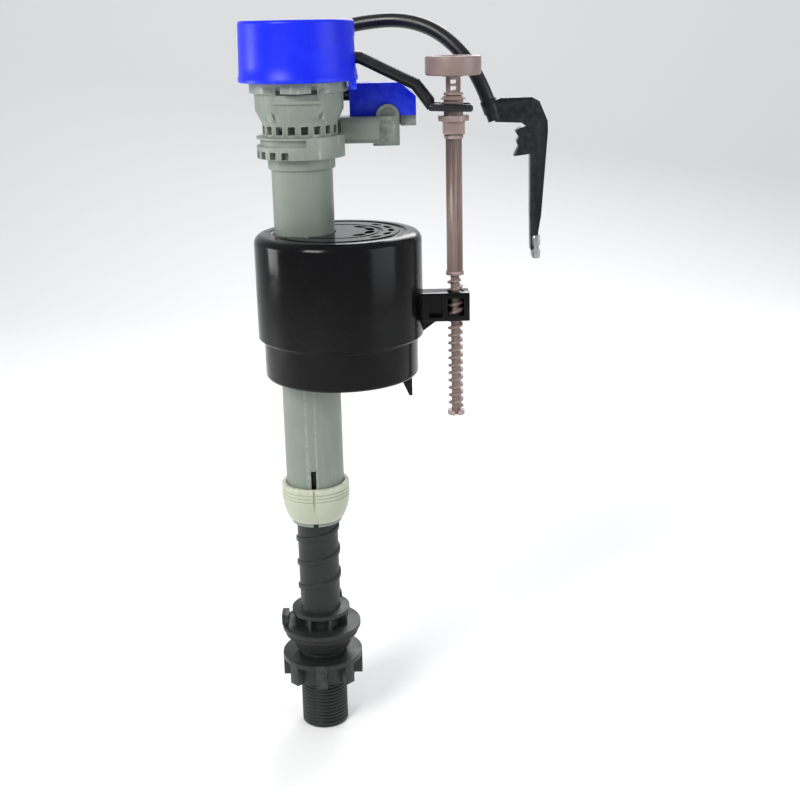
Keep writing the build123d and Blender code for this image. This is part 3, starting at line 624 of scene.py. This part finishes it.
tube_curve = bpy.data.curves.new("refill_hose", "CURVE")
tube_curve.dimensions = "3D"
tube_curve.resolution_u = 10
tube_curve.bevel_depth = TUBE_D / 2
tube_curve.bevel_resolution = 8
tube_curve.use_fill_caps = True
spline = tube_curve.splines.new("NURBS")
spline.points.add(len(TUBE_ROUTE) - 1)
for point, place in zip(spline.points, TUBE_ROUTE):
    point.co = (*place, 1.0)
spline.order_u = 3
spline.use_endpoint_u = True
refill_hose = bpy.data.objects.new("refill_hose", tube_curve)
bpy.context.scene.collection.objects.link(refill_hose)
refill_hose.data.materials.append(black_vinyl)
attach(refill_hose, "valve_body")
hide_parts("refill_tube")
print("tube route has", len(TUBE_ROUTE), "points")

# %% [markdown]
# ## The float
# The float is two glossy cups snapped together, off centre on the tube. Each cup is a turned shape, so its
# half profile is drawn once and spun: a straight wall, a generous 4 mm shoulder, and a top with two sunken
# rings. What isn't round is fused on or cut after that.

# %% Upper cup
FLOAT_X = 14.5
FLOAT_R = 37.0
FLOAT_TOP = 190.4
SEAM_Z = 144.0
SHOULDER_R = 4.0

cup_profile = [(0, SEAM_Z), (FLOAT_R - 0.5, SEAM_Z), (FLOAT_R, SEAM_Z + 0.5)]
cup_profile += arc(FLOAT_R - SHOULDER_R, FLOAT_TOP - SHOULDER_R, SHOULDER_R, 0, 90, 8)
cup_profile += [(30.6, FLOAT_TOP), (30.2, FLOAT_TOP - 0.6), (27.4, FLOAT_TOP - 0.6), (27.0, FLOAT_TOP)]
cup_profile += [(20.0, FLOAT_TOP), (19.6, FLOAT_TOP - 0.5), (18.4, FLOAT_TOP - 0.5), (18.0, FLOAT_TOP)]
cup_profile += [(0, FLOAT_TOP)]
float_cup = spun(cup_profile, steps=128, centre_x=FLOAT_X * MM)
print("the upper cup is", 2 * FLOAT_R, "mm across, with its seam at", SEAM_Z)

# %% [markdown]
# ## The arm that carries the rod
# The upper cup reaches out in a short arm whose end snaps round the rod. It is a rounded block with a pocket
# in each side that leaves a web between them, a sloping gusset below it, a hole for the rod, and a window in
# its front that shows the thread. The bore for the tube is cut after that, right through the cup.

# %% Arm
ROD_X = 66.0
ROD_HOLE_R = 3.8
BORE_R = 13.8
ARM_LOW = 149.7
ARM_TOP = 162.5

arm = brick(47.5, 72.2, -5.6, 5.6, ARM_LOW, ARM_TOP, bevel=0.5)
for y0, y1 in ((-8.0, -1.2), (1.2, 8.0)):
    cut_with(arm, brick(54.1, 60.0, y0, y1, 151.5, 160.7))
join_to(float_cup, arm)
gusset = brick(50.0, 58.5, -1.2, 1.2, 144.3, 149.9)
pick_edges(gusset, lambda a, b: min(a.x, b.x) > 0.058 and max(a.z, b.z) < 0.145)
bpy.ops.transform.translate(value=(-0.0075, 0, 0))
bpy.ops.object.mode_set(mode="OBJECT")
join_to(float_cup, gusset)
cut_with(float_cup, peg(ROD_HOLE_R, ROD_X, 0, 140, 170, vertices=48))
cut_with(float_cup, brick(62.4, 69.6, -8, 0, 152.2, 160.0))
cut_with(float_cup, peg(BORE_R, 0, 0, 130, 200, vertices=96))
print("the arm is", round(ARM_TOP - ARM_LOW, 1), "mm deep")

# %% [markdown]
# ## The openings in the float's top
# Two rows of oval slots pierce the float's top. One slot is a peg stretched to an oval, turned to lie across
# a ray from the float's centre, and moved out to its row, so one helper cuts both rows.


# %% Slots in the top
def cut_slots(count, first_deg, step_deg, row_r, radius, stretch, depth, vertices):
    """Cuts a row of oval slots through the float's top, in millimetres."""
    for i in range(count):
        a = math.radians(first_deg + step_deg * i)
        slot = peg(radius, 0, 0, FLOAT_TOP - depth, FLOAT_TOP + 2, vertices)
        make_active(slot)
        bpy.ops.transform.resize(value=(1.0, stretch, 1.0))
        bpy.ops.transform.rotate(value=-a, orient_axis="Z", center_override=ORIGIN)
        bpy.ops.transform.translate(value=((FLOAT_X + row_r * math.cos(a)) * MM, row_r * math.sin(a) * MM, 0))
        cut_with(float_cup, slot)


cut_slots(5, -44, 22, row_r=23.5, radius=1.4, stretch=2.4, depth=6.0, vertices=24)
cut_slots(4, -48, 32, row_r=14.6, radius=2.0, stretch=1.9, depth=7.0, vertices=32)
finish_piece(float_cup, "float_cup_skin", "float", float_plastic, ["float_cup"])

# %% [markdown]
# ## The lower cup
# The lower cup closes the float from below. It is a little narrower, so the seam shows as a step, and a
# small tapered fin under it guides the float along the rod side of the tube.

# %% Lower cup and its fin
base_profile = [(0, 125.8)] + arc(32.5, 127.8, 2.0, -90, 0, 6)
base_profile += [(34.5, 142.6), (35.0, 143.2), (35.0, 143.95), (0, 143.95)]
float_base = spun(base_profile, steps=128, centre_x=FLOAT_X * MM)
fin = brick(39.0, 46.0, -1.2, 1.2, 114.5, 127.0)
pick_faces(fin, lambda place, normal: normal.z < -0.9)
bpy.ops.transform.resize(value=(0.2, 1, 1), center_override=(0.046, 0, 0.1145))
bpy.ops.object.mode_set(mode="OBJECT")
join_to(float_base, fin)
cut_with(float_base, peg(BORE_R, 0, 0, 110, 160, vertices=96))
finish_piece(float_base, "float_base_skin", "float", float_plastic, ["float_base"])

# %% [markdown]
# ## The lock ring
# A translucent ivory collar locks the tube's height. It bulges like a barrel, has three fine grip lines
# under its top and one narrow groove down its front. The barrel and its grip lines are one spun profile.

# %% Lock ring
RING_LOW = 57.0
RING_TOP = 74.5
GRIP_R = 15.7
GRIP_FLOOR_R = 15.3

barrel = [(12.7, RING_LOW), (13.5, RING_LOW + 1.6), (14.5, RING_LOW + 4.0), (15.2, RING_LOW + 7.0)]
barrel += [(15.6, RING_LOW + 10.0)]
for i in range(3):
    z = RING_LOW + 11.2 + 1.6 * i
    barrel += [(GRIP_R, z), (GRIP_FLOOR_R, z + 0.25), (GRIP_FLOOR_R, z + 0.45), (GRIP_R, z + 0.7)]
barrel += [(15.6, RING_TOP - 0.6), (15.1, RING_TOP), (13.7, RING_TOP)]
barrel += [(13.7, RING_LOW + 5.8), (12.1, RING_LOW + 1.6), (12.1, RING_LOW)]
lock_ring = spun(barrel, steps=112)
cut_with(lock_ring, brick(-0.6, 0.6, -17, -14.9, RING_LOW + 1, RING_TOP + 1))
finish_piece(lock_ring, "lock_ring_skin", "lock_ring", ring_plastic, ["lock_ring"], smooth=36)

# %% [markdown]
# ## The cap
# The blue cap is the piece one sees first. It is a slightly tapered drum with a sunken top inside a rounded
# rim, a foot band, a wide slot that the lever swings in, and a small hook that locks it onto the head. Two
# cheeks inside it hold the lever's pin.

# %% Cap
PIN_X = 12.0
PIN_Z = 265.0

rim = [(24.5, 278.4)] + arc(23.2, 278.7, 1.3, 0, 90, 5) + arc(22.2, 279.2, 0.8, 90, 180, 3)
drum = [(20.6, 255.0), (25.1, 255.0), (25.5, 255.4), (25.5, 257.0), (25.2, 257.5), (25.0, 262.0)] + rim
drum += [(20.6, 278.9), (8.0, 278.9), (7.6, 278.5), (0, 278.5), (0, 276.8)]
drum += [(22.3, 276.8), (22.3, 260.0), (20.6, 260.0)]
cap = spun(drum, steps=128)
for y0, y1 in ((-7.2, -4.4), (4.4, 7.2)):
    join_to(cap, brick(8.8, 15.2, y0, y1, 262.0, 277.2))
cut_with(cap, cross_peg(1.5, 10, PIN_X, 0, PIN_Z))
cut_with(cap, brick(17.0, 27.5, -5.0, 5.0, 259.6, 273.0, bevel=0.3))
join_to(cap, brick(21.4, 24.9, -9.5, -3.5, 251.4, 256.0, bevel=0.4))
soften(cap, 0.25)
finish_piece(cap, "cap_skin", "valve_body", blue_plastic, ["cap"])

# %% [markdown]
# ## The adjusting rod and its knob
# The rod is a cross-shaped shaft with a coarse thread, which the CAD model already has exactly. Its knob is
# a smooth, softly rounded disc, so a copy of the rod is cut off under the knob by a bisect, and a spun disc
# with a screwdriver slot is joined on. The two overlap a little, so no gap shows.

# %% Rod and knob
KNOB_LOW = 256.0
KNOB_TOP = 264.0


def welded_copy(node):
    """A copy of a CAD node with its own mesh, welded, and left in edit mode with everything selected."""
    start_fresh()
    piece = nodes[node].copy()
    piece.data = nodes[node].data.copy()
    piece.parent = None
    for key in list(piece.keys()):
        del piece[key]
    bpy.context.scene.collection.objects.link(piece)
    make_active(piece)
    bpy.ops.object.mode_set(mode="EDIT")
    bpy.ops.mesh.select_all(action="SELECT")
    bpy.ops.mesh.remove_doubles(threshold=WELD)
    return piece


adjust_rod = welded_copy("adjust_rod")
bpy.ops.mesh.bisect(plane_co=(0, 0, (KNOB_LOW - 0.3) * MM), plane_no=(0, 0, 1), clear_outer=True,
                    use_fill=True)
bpy.ops.object.mode_set(mode="OBJECT")
disc = [(0, KNOB_LOW - 0.6), (3.2, KNOB_LOW - 0.6), (4.4, KNOB_LOW - 0.6), (5.0, KNOB_LOW)]
disc += arc(11.0, KNOB_LOW + 1.0, 1.0, -90, 0, 4) + arc(11.2, KNOB_TOP - 0.8, 0.8, 0, 90, 4)
disc += [(9.4, KNOB_TOP), (9.0, KNOB_TOP - 0.5), (0, KNOB_TOP - 0.5)]
knob = spun(disc, steps=72, centre_x=ROD_X * MM)
cut_with(knob, brick(ROD_X - 7.0, ROD_X + 7.0, -0.8, 0.8, KNOB_TOP - 1.6, KNOB_TOP + 1))
make_active(adjust_rod)
knob.select_set(True)
bpy.ops.object.join()
finish_piece(adjust_rod, "adjust_rod_skin", "adjust_rod", rod_plastic, ["adjust_rod"], outward=False)

# %% [markdown]
# ## The lever
# The black lever leaves the cap as an oval bar, bends down twice and ends in a flat open fork that holds the
# bushing. The bar is one face extruded from corner to corner, and the fork is a rounded plate with a slot.

# %% Lever
LEVER_ROUTE = [(-5.2, 265.0), (12.0, 265.0), (26.5, 264.2), (50.0, 252.6), (54.6, 246.6), (57.0, 243.3)]


def bent_bar(route, half_w, half_h):
    """An oval bar along (x, z) millimetre points: its end face is extruded and turned at each corner."""
    start_fresh()
    bpy.ops.mesh.primitive_circle_add(radius=1.0, vertices=24, fill_type="NGON", rotation=(0, math.pi / 2, 0))
    bar = bpy.context.object
    bar.scale = (half_h * MM, half_w * MM, 1.0)
    bpy.ops.object.transform_apply(location=True, rotation=True, scale=True)
    bpy.ops.object.mode_set(mode="EDIT")
    bpy.ops.mesh.select_mode(type="FACE")
    bpy.ops.mesh.select_all(action="SELECT")
    places = [Vector((x * MM, 0.0, z * MM)) for x, z in route]
    slopes = [math.atan2(a.z - b.z, b.x - a.x) for a, b in zip(places, places[1:])]
    corners = [slopes[0]] + [(a + b) / 2 for a, b in zip(slopes, slopes[1:])] + [slopes[-1]]
    bpy.ops.transform.translate(value=places[0])
    turned = 0.0
    for i, place in enumerate(places):
        if i:
            bpy.ops.mesh.extrude_region_move(TRANSFORM_OT_translate={"value": place - places[i - 1]})
        bpy.ops.transform.rotate(value=turned - corners[i], orient_axis="Y", center_override=place)
        turned = corners[i]
    bpy.ops.mesh.select_all(action="SELECT")
    bpy.ops.mesh.normals_make_consistent(inside=False)
    bpy.ops.object.mode_set(mode="OBJECT")
    return bar


lever = bent_bar(LEVER_ROUTE, half_w=4.0, half_h=2.7)
fork = brick(54.9, 74.0, -8.0, 8.0, 241.6, 244.7, bevel=1.2)
pick_faces(fork, lambda place, normal: place.x > 0.0705)
bpy.ops.transform.translate(value=(0, 0, -0.0007))
bpy.ops.object.mode_set(mode="OBJECT")
join_to(lever, fork)
cut_with(lever, brick(57.8, 80.0, -4.8, 4.8, 236.0, 250.0))
cut_with(lever, cross_peg(1.56, 10, PIN_X, 0, PIN_Z))
soften(lever, 0.3)
finish_piece(lever, "lever_skin", "lever", black_plastic, ["lever"], smooth=40)

# %% [markdown]
# ## The clip at the elbow's tip
# A small grey spring clip closes the elbow's leg. It is a rounded block with a waist, so that it reads as two
# lobes, and a channel that fits over the leg.

# %% Elbow clip
CLIP_Y = 28.0
WAIST_Z = 176.8
clip = brick(103.2, 107.0, CLIP_Y - 4.1, CLIP_Y + 4.1, 171.5, 182.5, bevel=1.1)
for x in (102.4, 107.8):
    cut_with(clip, cross_peg(1.6, 8, x, CLIP_Y, WAIST_Z))
cut_with(clip, brick(100.0, 106.02, CLIP_Y - 3.2, CLIP_Y + 3.2, 174.6, 190.0))
soften(clip, 0.2)
finish_piece(clip, "elbow_clip_skin", "valve_body", pin_steel, ["elbow_clip"])

# %% [markdown]
# ## The pieces whose CAD shape is right
# These keep their shape, apart from their edges. A copy of each is welded and its flat faces are merged, so
# that a fine bevel can round every moulded edge, and light catches the corners as it does on real plastic.


# %% Finished copies of CAD nodes
def body_of_node(node):
    """The body that a CAD node rides on."""
    return next(body for body, members in frame["record"]["behaviour"]["bodies"].items() if node in members)


def rounded_copy(node, material, bevel_mm):
    """A welded copy of a CAD node with its moulded edges rounded."""
    piece = welded_copy(node)
    bpy.ops.mesh.dissolve_limited(angle_limit=math.radians(1.0))
    bpy.ops.object.mode_set(mode="OBJECT")
    soften(piece, bevel_mm, angle_deg=38.0)
    return finish_piece(piece, node + "_skin", body_of_node(node), material, [node], outward=False)


COPIES = [
    ("roller_clamp", blue_plastic, 0.35),
    ("valve_head", body_plastic, 0.2),
    ("take_off_ring", body_plastic, 0.25),
    ("outer_tube", body_plastic, 0.15),
    ("shank", base_plastic, 0.12),
    ("mounting_nut", base_plastic, 0.4),
    ("shank_washer", seal_rubber, 0.3),
    ("rod_bushing", rod_plastic, 0.2),
    ("overflow_elbow", elbow_plastic, 0.9),
    ("clamp_roller", roller_plastic, 0.1),
]
for node, material, width in COPIES:
    rounded_copy(node, material, width)

# %% [markdown]
# ## The pieces inside
# The seals, the plunger, the pin and the other small parts sit inside the valve, where little of them shows.
# They keep their CAD mesh, and each gets the finish of its own material.

# %% Inner pieces
KEPT = {
    "riser_tube": body_plastic, "valve_seat": inner_plastic, "diaphragm": seal_rubber,
    "seal_retainer": inner_plastic, "plunger": inner_plastic, "lever_pin": pin_steel,
    "clamp_barb": inner_plastic, "riser_seal": seal_rubber, "rod_stop": rod_plastic,
}
for node, material in KEPT.items():
    paint(nodes[node], material)
print("kept CAD nodes:", len(KEPT))
